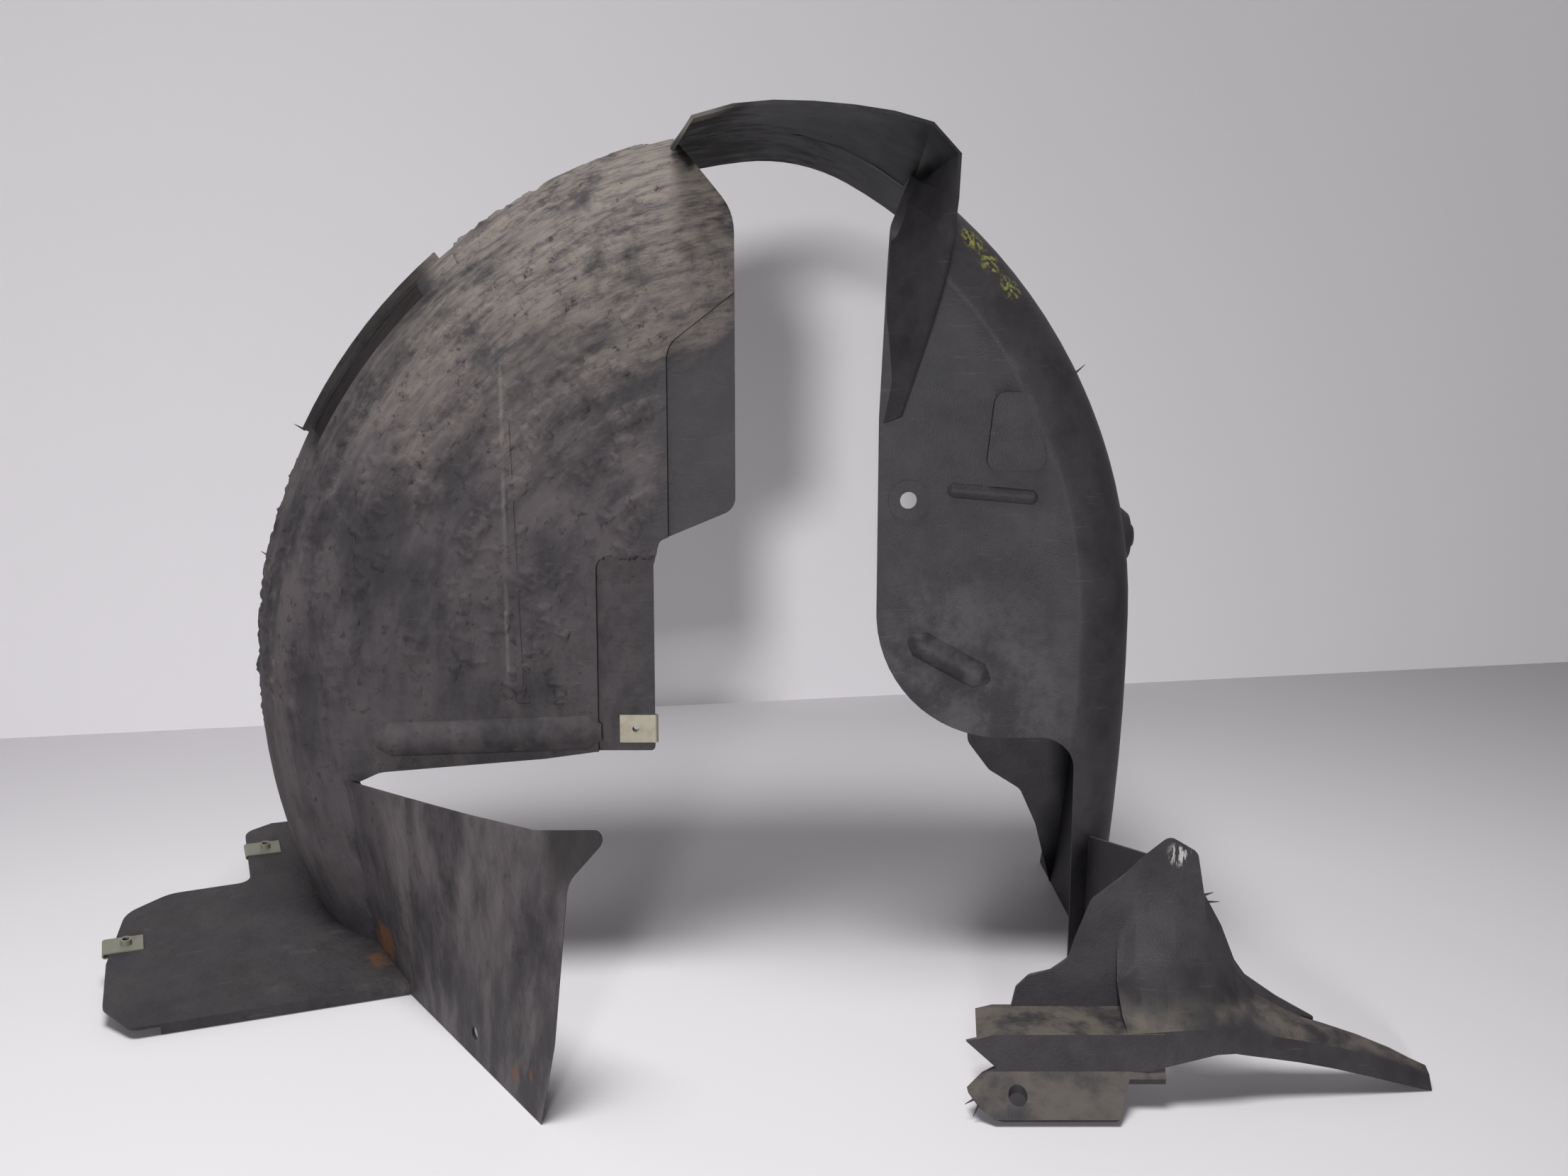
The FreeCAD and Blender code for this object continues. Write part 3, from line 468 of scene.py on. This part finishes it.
crest_r = ARCH_R - SHOULDER_R
wall_y = SHIFT_Y / 1000
section = []
for i in range(WALL_POINTS):
    section.append(Vector((MUD_INNER_R + (crest_r - MUD_INNER_R) * i / WALL_POINTS, wall_y, 0)))
for i in range(SHOULDER_POINTS):
    turn = math.radians(SHOULDER_TURN) * i / (SHOULDER_POINTS - 1)
    section.append(Vector((crest_r + SHOULDER_R * math.sin(turn),
                           wall_y + SHOULDER_R * (1 - math.cos(turn)), 0)))
mud = bmesh.new()
first_turn = Matrix.Rotation(-math.radians(MUD_FIRST_ANGLE), 3, "Y")
line = [mud.verts.new(first_turn @ point + Vector((ARCH.x, 0, ARCH.z))) for point in section]
border = [mud.edges.new(pair) for pair in zip(line[:-1], line[1:])]
bmesh.ops.spin(mud, geom=line + border, cent=(ARCH.x, 0, ARCH.z), axis=(0, -1, 0),
               angle=math.radians(MUD_LAST_ANGLE - MUD_FIRST_ANGLE), steps=MUD_STEPS)
bmesh.ops.recalc_face_normals(mud, faces=mud.faces)
if sum(face.normal.y for face in mud.faces) > 0:
    bmesh.ops.reverse_faces(mud, faces=mud.faces)
mud.normal_update()
print("mud sheet has", len(mud.faces), "faces")

# %% [markdown]
# ## How thick the mud is
# The wall's clean edge strips, its bead, its lowest part and the slot carry no mud. Elsewhere clods that are
# stretched along the arch and finer crumbs add up, and there is more mud higher up. The sheet starts a
# little below the wall's surface, so that only the thick places come out of it.

# %% Mud pushed out of the wall
MUD_THICKNESS = 0.0036
MUD_SUNK = 0.0004
MUD_FLOOR = 0.150           # lowest height with mud
BEAD_TOP = 0.200
STEP_HEIGHT = 0.304         # the clean edge strip is wider below this height
STRIP_MARGIN = 0.004


def mud_depth(point):
    """Thickness of the mud at a place on the dome, in metres."""
    dx, dz = point.x - ARCH.x, point.z - ARCH.z
    around = math.atan2(dz, -dx)
    out_r = math.hypot(dx, dz)
    degrees = math.degrees(math.atan2(dz, dx)) % 360
    edge_x = spot(-81 if point.z > STEP_HEIGHT else -132, 0, 0).x
    bead = MUD_FLOOR < point.z < BEAD_TOP and spot(-300, 0, 0).x < point.x
    in_slot = 128 < degrees < 156 and spot(0, 22, 0).y < point.y < spot(0, 96, 0).y
    if point.x > edge_x - STRIP_MARGIN or point.z < MUD_FLOOR or bead or in_slot:
        return 0.0
    flow = Vector((around * 0.09, out_r, point.y)) * 48
    clods = noise.fractal(flow, 0.7, 2.1, 6, noise_basis="PERLIN_ORIGINAL")
    crumbs = noise.fractal(point * 120, 0.8, 2.0, 4, noise_basis="PERLIN_ORIGINAL")
    amount = clods + 0.8 * crumbs + 1.0 * (point.z - 0.44)
    fade = min((edge_x - STRIP_MARGIN - point.x) / 0.02, (point.z - MUD_FLOOR) / 0.05, 1.0)
    return max(0.0, min(amount * fade, 0.8)) * MUD_THICKNESS


depth = {vert: mud_depth(vert.co) for vert in mud.verts}
bare = [face for face in mud.faces if max(depth[vert] for vert in face.verts) <= 0.0]
push = {vert: vert.normal * (depth[vert] - MUD_SUNK) for vert in mud.verts}
for vert in mud.verts:
    vert.co += push[vert]
bmesh.ops.delete(mud, geom=bare, context="FACES")
for face in mud.faces:
    face.smooth = True

front_mud = piece_from(mud, "front_mud", moulding)
body = front_mud.modifiers.new("body_of_mud", "SOLIDIFY")
body.thickness = 0.0008
body.offset = -1.0

# %% [markdown]
# ## Clips and rivet
# The clips are plated spring steel. The one on the wall still shows pale cream plating, the two on the
# apron have gone olive grey. They could have two finishes, but they are one node, so one finish changes
# its colour along X. All have dirt in their grain. The rivet is plain black plastic with worn blotches.
# The CAD shapes are right, so both pieces are merged copies of them.

# %% Metal and rivet
OLIVE_PLATING = (0.21, 0.21, 0.17, 1)
CREAM_PLATING = (0.30, 0.275, 0.215, 1)
GRIME_BROWN = (0.20, 0.17, 0.12, 1)
RIVET_BLACK = (0.012, 0.012, 0.012, 1)
RIVET_GREY = (0.045, 0.042, 0.040, 1)

dull_steel, tree, shader = material("dull_steel")
place, x, y, z = position(tree)
blotch = use(tree, grain, Fineness=GRAIN_FINENESS, Blotches=GRAIN_BLOTCHES)["Blotch"]
pale_one = ramp(tree, x, -0.25, -0.15)
plating = mix(tree, pale_one, OLIVE_PLATING, CREAM_PLATING)
grime = ramp(tree, grains(tree, place, 90.0, 6.0, 0.7), 0.46, 0.80)
plating = mix(tree, grime, plating, GRIME_BROWN)
tree.links.new(plating, shader.inputs["Base Color"])
shader.inputs["Metallic"].default_value = 0.35
feed(tree, shader.inputs["Roughness"], calc(tree, "ADD", times(tree, blotch, 0.3), 0.35))
black_rivet, tree, shader = material("black_rivet")
blotch = use(tree, grain, Fineness=GRAIN_FINENESS, Blotches=GRAIN_BLOTCHES)["Blotch"]
worn = mix(tree, blotch, RIVET_BLACK, RIVET_GREY)
tree.links.new(worn, shader.inputs["Base Color"])
shader.inputs["Roughness"].default_value = 0.6
for name, finish, slot in (("spring_nuts", dull_steel, "nut_steel"),
                           ("push_rivet", black_rivet, "rivet_plastic")):
    made = piece_from(merged_copy(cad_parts[name], 30), name + "_skin", finish)
    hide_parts(name)

# %% [markdown]
# ## Burrs and frayed ends
# Thin threads of plastic stand out where the moulding was cut or torn. Hair could make them, but there are
# only seven, so each is a slim cone. Its place was read off the photo, and its foot is the nearest point of
# the skin, so that none hangs in the air. The list gives each burr's place in drawing millimetres, the way
# it leans and its length in millimetres.

# %% Burrs
BURRS = (((205, 26, 432), (0.6, -0.2, 0.7), 9), ((-358, 84, 390), (-0.5, -0.3, 0.8), 8),
         ((-400, 70, 300), (-0.6, -0.2, 0.6), 6), ((262, -157, 112), (0.9, -0.2, -0.1), 6),
         ((262, -157, 118), (0.8, -0.2, 0.4), 5), ((112, -218, 9), (-0.3, -0.2, -0.9), 6),
         ((108, -214, 9), (-0.9, -0.2, -0.3), 5))
BURR_FOOT_R = 0.0009
BURR_TIP_R = 0.0002
BURR_SUNK = 0.001

surface = bmesh.new()
surface.from_mesh(skin.data)
skin_search = BVHTree.FromBMesh(surface)
surface.free()
burrs = bmesh.new()
for start, lean, reach in BURRS:
    foot, normal, face, away = skin_search.find_nearest(spot(*start))
    tip = foot + (normal * 0.4 + Vector(lean)).normalized() * reach / 1000
    along = (tip - foot).to_track_quat("Z", "Y").to_matrix().to_4x4()
    stand = Matrix.Translation((foot + tip) / 2) @ along
    bmesh.ops.create_cone(burrs, cap_ends=True, segments=6, radius1=BURR_FOOT_R, radius2=BURR_TIP_R,
                          depth=(tip - foot).length + BURR_SUNK, matrix=stand)
    print("burr", round(away * 1000, 1), "mm from the point read off the photo")
piece_from(burrs, "burrs", moulding)

# %% [markdown]
# ## The room
# A pale floor and a pale wall a metre behind the part. One bent sheet could be both, but the photo shows a
# line where they meet. That line is slanted, so the wall is turned a little. Its back is clear, so that the
# part can also be seen from behind.

# %% Floor and wall
ROOM_WHITE = (0.74, 0.72, 0.745, 1)
ROOM_REACH = 4.0
FLOOR_DROP = 0.0005
WALL_TURN = 12.8
WALL_PLACE = (0.047, 0.91, 0)


def plane(name, size, matrix):
    shape = bmesh.new()
    bmesh.ops.create_grid(shape, x_segments=1, y_segments=1, size=size, matrix=matrix)
    data = bpy.data.meshes.new(name)
    shape.to_mesh(data)
    shape.free()
    made = bpy.data.objects.new(name, data)
    bpy.context.scene.collection.objects.link(made)
    return made


def room_paint(name):
    made, tree, shader = material(name)
    shader.inputs["Base Color"].default_value = ROOM_WHITE
    shader.inputs["Roughness"].default_value = 0.85
    return made, tree, shader


floor = plane("floor", ROOM_REACH, Matrix.Translation((0, 0, -FLOOR_DROP)))
turned = Matrix.Rotation(math.radians(WALL_TURN), 4, "Z") @ Matrix.Rotation(math.radians(90), 4, "X")
wall = plane("wall", ROOM_REACH, Matrix.Translation(WALL_PLACE) @ turned)
pale, tree, shader = room_paint("pale_room")
pale_wall, tree, shader = room_paint("pale_wall")
behind = node(tree, "ShaderNodeNewGeometry").outputs["Backfacing"]
tree.links.new(calc(tree, "SUBTRACT", 1.0, behind), shader.inputs["Alpha"])
floor.data.materials.append(pale)
wall.data.materials.append(pale_wall)
print("room ready")

# %% [markdown]
# ## Light
# A wide lamp above gives the floor its soft shadows. A lamp near the camera would flatten every form. The
# room's window is therefore far behind the camera and not much higher than the part, so it lights all that
# faces the camera and throws the shadow of the hood on the wall, which shows through the strut opening.

# %% Lamps
def lamp(name, size, power, spread, place, target):
    data = bpy.data.lights.new(name, "AREA")
    data.shape = "DISK"
    data.size = size
    data.energy = power
    data.spread = math.radians(spread)
    made = bpy.data.objects.new(name, data)
    bpy.context.scene.collection.objects.link(made)
    made.location = place
    made.rotation_euler = (Vector(target) - Vector(place)).to_track_quat("-Z", "Y").to_euler()
    print("lamp", name, power, "W")
    return made


lamp("overhead", 1.1, 11, 78, (-0.25, -0.55, 2.4), (-0.1, -0.35, 0))
lamp("window", 0.6, 230, 180, (-0.5, -6.0, 0.80), (0, 0, 0.4))
world = bpy.data.worlds.new("room_light")
bpy.context.scene.world = world
world.use_nodes = True
world.node_tree.nodes["Background"].inputs["Color"].default_value = (0.95, 0.94, 1.0, 1)
world.node_tree.nodes["Background"].inputs["Strength"].default_value = 0.05

# %% [markdown]
# ## Camera
# It stands a metre in front of the engine side, a little above the middle, tipped down by eight degrees. It
# could be set by eye, but the focal length was estimated from the photo, in its own pixels, so the lens is
# that length's share of the photo's width.

# %% Camera
FOCAL_PIXELS = 2100.0
PHOTO_WIDTH_PIXELS = 2212.0
SENSOR_WIDTH = 36.0
LOOK_DOWN = 8.1

view = bpy.data.cameras.new("camera")
view.sensor_width = SENSOR_WIDTH
view.lens = FOCAL_PIXELS / PHOTO_WIDTH_PIXELS * SENSOR_WIDTH
camera = bpy.data.objects.new("camera", view)
bpy.context.scene.collection.objects.link(camera)
camera.location = spot(0, -1033, 430)
camera.rotation_euler = (math.radians(90 - LOOK_DOWN), 0, 0)
bpy.context.scene.camera = camera
bpy.context.scene.view_settings.view_transform = "Standard"
print("camera at", list(camera.location))
